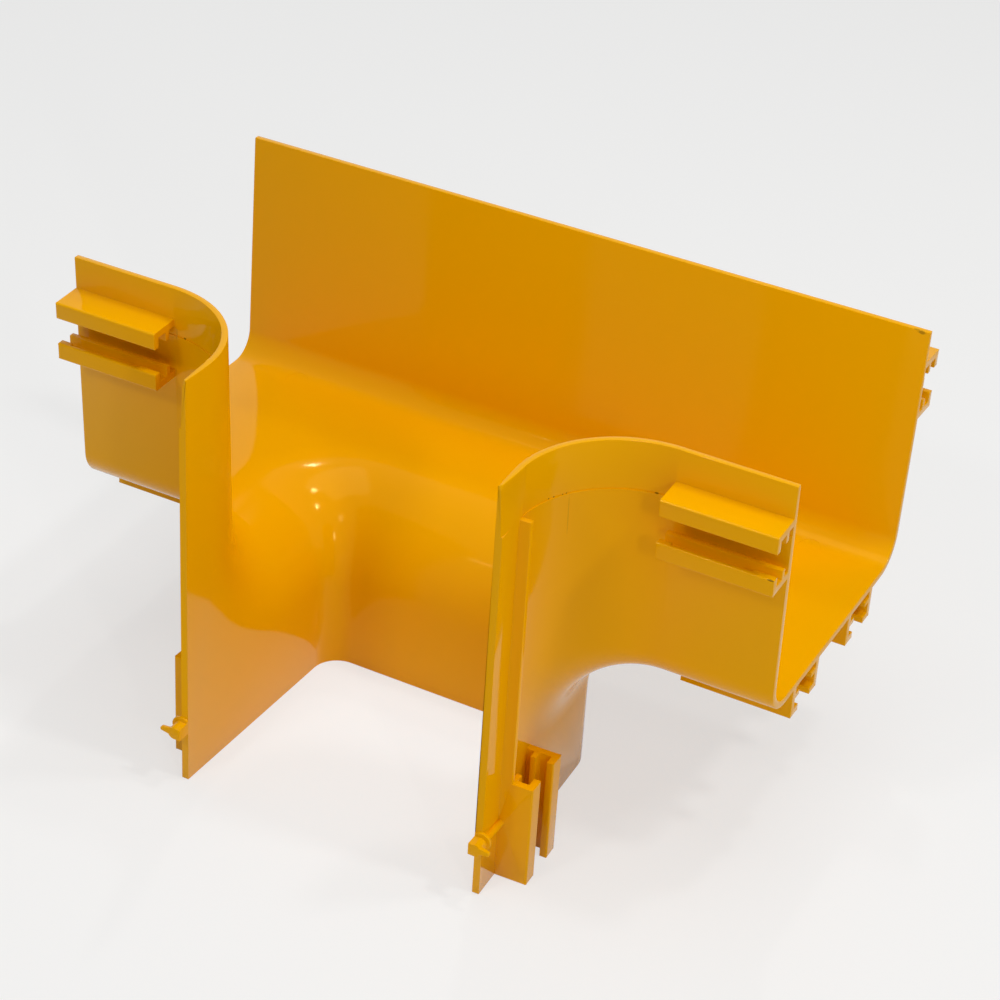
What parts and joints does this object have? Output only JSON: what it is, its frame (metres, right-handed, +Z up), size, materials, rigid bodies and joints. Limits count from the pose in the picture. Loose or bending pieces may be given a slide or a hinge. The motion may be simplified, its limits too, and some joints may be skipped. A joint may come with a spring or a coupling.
{
  "type": "raceway vertical tee",
  "caption": "Yellow moulded fibre-duct tee: an open-topped run whose flared mouth drops into an open-fronted leg, with coupler tracks at every port.",
  "frame": {"origin": "middle of the lower end face of the leg's back wall", "axes": "+X along the run, +Y from the leg's open front to the run's back wall, +Z up out of the run's open top"},
  "size_m": [0.3, 0.205, 0.18],
  "materials": {
    "yellow_plastic": "glossy moulded ABS"
  },
  "bodies": {
    "root": {"tee_body": "yellow_plastic"}
  },
  "joints": []
}
